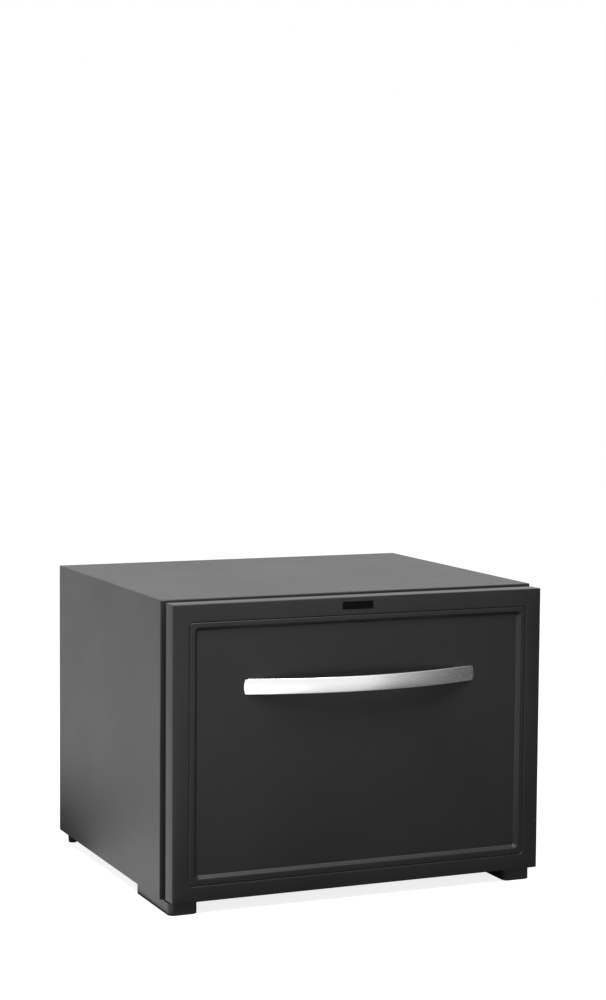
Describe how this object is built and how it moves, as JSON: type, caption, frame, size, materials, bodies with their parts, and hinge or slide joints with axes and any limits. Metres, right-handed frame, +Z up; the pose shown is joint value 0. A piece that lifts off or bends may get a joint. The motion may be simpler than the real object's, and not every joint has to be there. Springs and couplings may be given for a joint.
{
  "type": "hotel minibar with drawer front",
  "caption": "Free-standing hotel minibar: a bow-handled drawer front carries a divided bin out of the cabinet on telescopic slides, with an absorption cooling unit behind.",
  "frame": {"origin": "middle of the footprint's bounding box, on the surface that the feet stand on", "axes": "+Z up, +X to the right of someone who faces the drawer front, +Y towards the back; the drawer front faces -Y"},
  "size_m": [0.5374, 0.4911, 0.4045],
  "materials": {
    "black_paint": "satin",
    "zinc_steel": "satin",
    "slide_steel": "satin",
    "cage_steel": "satin",
    "fastener_steel": "satin",
    "front_plastic": "satin",
    "decor_black": "satin",
    "badge_black": "gloss",
    "handle_metal": "satin",
    "foot_plastic": "matte",
    "rigid_foam": "matte",
    "liner_plastic": "satin",
    "bin_plastic": "satin",
    "divider_plastic": "gloss",
    "seal_rubber": "matte",
    "cast_aluminium": "satin",
    "housing_plastic": "satin",
    "lens_plastic": "gloss",
    "knob_plastic": "satin",
    "unit_black": "satin",
    "casing_aluminium": "satin",
    "drain_plastic": "satin",
    "tray_plastic": "satin",
    "gland_plastic": "satin"
  },
  "bodies": {
    "cabinet": {"cabinet_wrap": "black_paint", "base_pan": "zinc_steel", "inner_liner": "liner_plastic", "insulation_foam": "rigid_foam", "back_panel": "zinc_steel", "front_foot_left": "foot_plastic", "front_foot_right": "foot_plastic", "foot_screws": "fastener_steel", "rear_foot_left": "foot_plastic", "rear_foot_right": "foot_plastic", "slide_outer_left": "slide_steel", "slide_outer_right": "slide_steel", "slide_screws": "fastener_steel", "evaporator": "cast_aluminium", "evaporator_screws": "fastener_steel", "evaporator_pipes": "unit_black", "drip_gutter": "liner_plastic", "drain_tube": "drain_plastic", "control_housing": "housing_plastic", "lamp_lens": "lens_plastic", "unit_plate": "zinc_steel", "unit_screws": "fastener_steel", "condenser": "unit_black", "absorber_coil": "unit_black", "absorber_vessel": "unit_black", "vessel_bracket_left": "zinc_steel", "vessel_bracket_right": "zinc_steel", "boiler_casing": "casing_aluminium", "heat_exchanger": "unit_black", "terminal_box": "tray_plastic", "cord_gland": "gland_plastic", "drip_tray": "tray_plastic"},
    "drawer": {"door_shell": "front_plastic", "panel_frame": "front_plastic", "decor_panel": "decor_black", "badge_plate": "badge_black", "handle": "handle_metal", "handle_screws": "fastener_steel", "door_foam": "rigid_foam", "door_liner": "liner_plastic", "door_gasket": "seal_rubber", "bin_carrier_left": "zinc_steel", "bin_carrier_right": "zinc_steel", "carrier_screws": "fastener_steel", "carrier_bolts": "fastener_steel", "drawer_bin": "bin_plastic", "slide_inner_left": "slide_steel", "slide_inner_right": "slide_steel"},
    "temperature_knob": {"temperature_knob": "knob_plastic"},
    "slide_cage_outer_left": {"slide_cage_outer_left": "cage_steel"},
    "slide_middle_left": {"slide_middle_left": "slide_steel"},
    "slide_cage_inner_left": {"slide_cage_inner_left": "cage_steel"},
    "slide_cage_outer_right": {"slide_cage_outer_right": "cage_steel"},
    "slide_middle_right": {"slide_middle_right": "slide_steel"},
    "slide_cage_inner_right": {"slide_cage_inner_right": "cage_steel"},
    "bin_divider_left": {"bin_divider_left": "divider_plastic"},
    "bin_divider_right": {"bin_divider_right": "divider_plastic"}
  },
  "joints": [
    {"name": "drawer_slide", "type": "slide", "parent": "cabinet", "child": "drawer", "axis": [0, -1, 0], "range_m": [0, 0.3]},
    {"name": "slide_cage_outer_left_travel", "type": "slide", "parent": "cabinet", "child": "slide_cage_outer_left", "axis": [0, -1, 0], "range_m": [0, 0.075]},
    {"name": "slide_middle_left_travel", "type": "slide", "parent": "cabinet", "child": "slide_middle_left", "axis": [0, -1, 0], "range_m": [0, 0.15]},
    {"name": "slide_cage_inner_left_travel", "type": "slide", "parent": "cabinet", "child": "slide_cage_inner_left", "axis": [0, -1, 0], "range_m": [0, 0.225]},
    {"name": "slide_cage_outer_right_travel", "type": "slide", "parent": "cabinet", "child": "slide_cage_outer_right", "axis": [0, -1, 0], "range_m": [0, 0.075]},
    {"name": "slide_middle_right_travel", "type": "slide", "parent": "cabinet", "child": "slide_middle_right", "axis": [0, -1, 0], "range_m": [0, 0.15]},
    {"name": "slide_cage_inner_right_travel", "type": "slide", "parent": "cabinet", "child": "slide_cage_inner_right", "axis": [0, -1, 0], "range_m": [0, 0.225]},
    {"name": "knob_turn", "type": "hinge", "parent": "cabinet", "child": "temperature_knob", "pos_m": [0.149, -0.14845, 0.354], "axis": [0, -1, 0], "range_deg": [-135, 135]},
    {"name": "bin_divider_left_shift", "type": "slide", "parent": "drawer", "child": "bin_divider_left", "axis": [1, 0, 0], "range_m": [-0.12, 0.06]},
    {"name": "bin_divider_right_shift", "type": "slide", "parent": "drawer", "child": "bin_divider_right", "axis": [1, 0, 0], "range_m": [-0.06, 0.12]}
  ],
  "couplings": [
    {"joint": "slide_cage_outer_left_travel", "follows": "drawer_slide", "ratio": 0.25},
    {"joint": "slide_middle_left_travel", "follows": "drawer_slide", "ratio": 0.5},
    {"joint": "slide_cage_inner_left_travel", "follows": "drawer_slide", "ratio": 0.75},
    {"joint": "slide_cage_outer_right_travel", "follows": "drawer_slide", "ratio": 0.25},
    {"joint": "slide_middle_right_travel", "follows": "drawer_slide", "ratio": 0.5},
    {"joint": "slide_cage_inner_right_travel", "follows": "drawer_slide", "ratio": 0.75}
  ]
}
